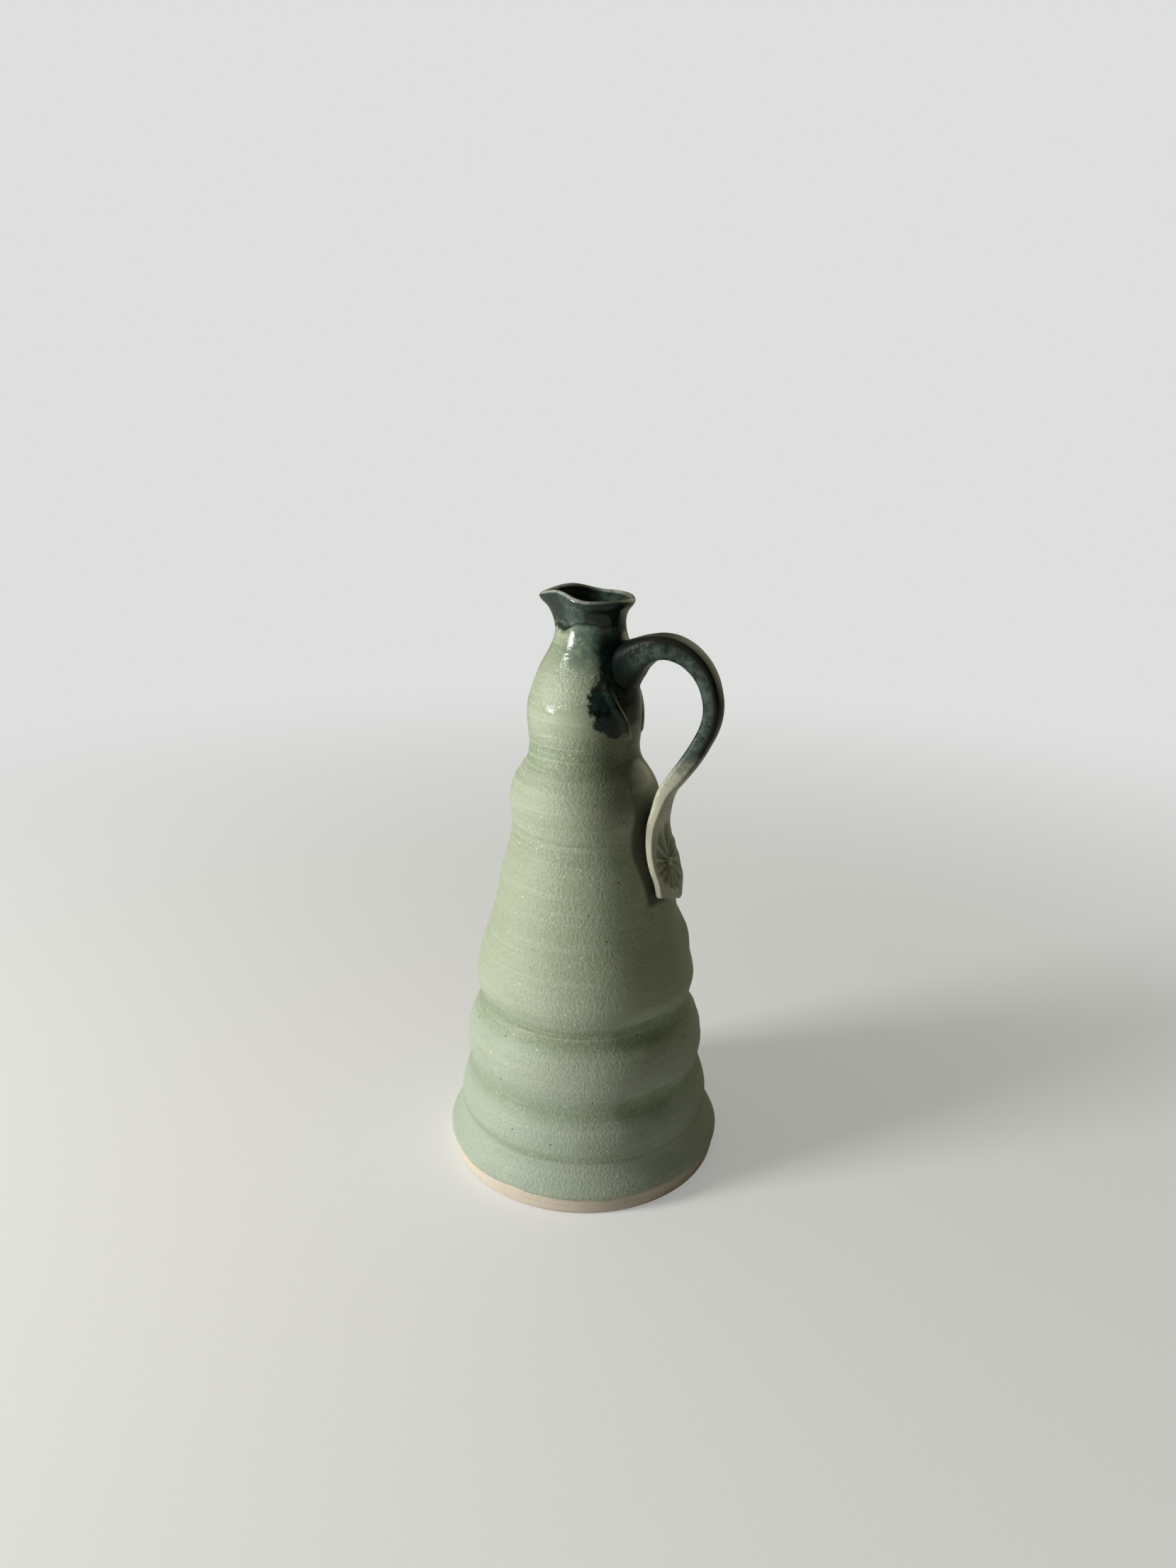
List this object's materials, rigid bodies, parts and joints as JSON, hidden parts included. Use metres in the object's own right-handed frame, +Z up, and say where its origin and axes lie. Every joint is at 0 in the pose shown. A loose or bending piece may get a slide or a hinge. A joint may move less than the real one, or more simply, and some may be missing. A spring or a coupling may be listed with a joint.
{
  "type": "pottery pitcher",
  "caption": "Hand-thrown stoneware pitcher: ringed conical body, narrow neck, pulled pouring lip and a pulled strap handle with a stamped tail, glazed, for serving drinks.",
  "frame": {"origin": "middle of the flat foot, on the surface that the pitcher stands on", "axes": "+Z up along the throwing axis, +X towards the handle, -X towards the pouring lip"},
  "size_m": [0.1174, 0.1174, 0.2426],
  "materials": {
    "stoneware": "bare fired clay, matt and slightly sandy",
    "slip": "fired slip in the joints",
    "celadon": "satin sage green glaze, speckled and slightly pebbled",
    "dark_green": "glossy dark green second glaze with soft runs",
    "liner": "glossy grey-green liner glaze"
  },
  "bodies": {
    "root": {"thrown_body": "stoneware", "pulled_handle": "stoneware", "root_slip_joint": "slip", "tail_slip_joint": "slip", "liner_glaze": "liner", "celadon_glaze": "celadon", "dark_glaze": "dark_green", "handle_dark_glaze": "dark_green", "handle_celadon_glaze": "celadon"}
  },
  "joints": []
}
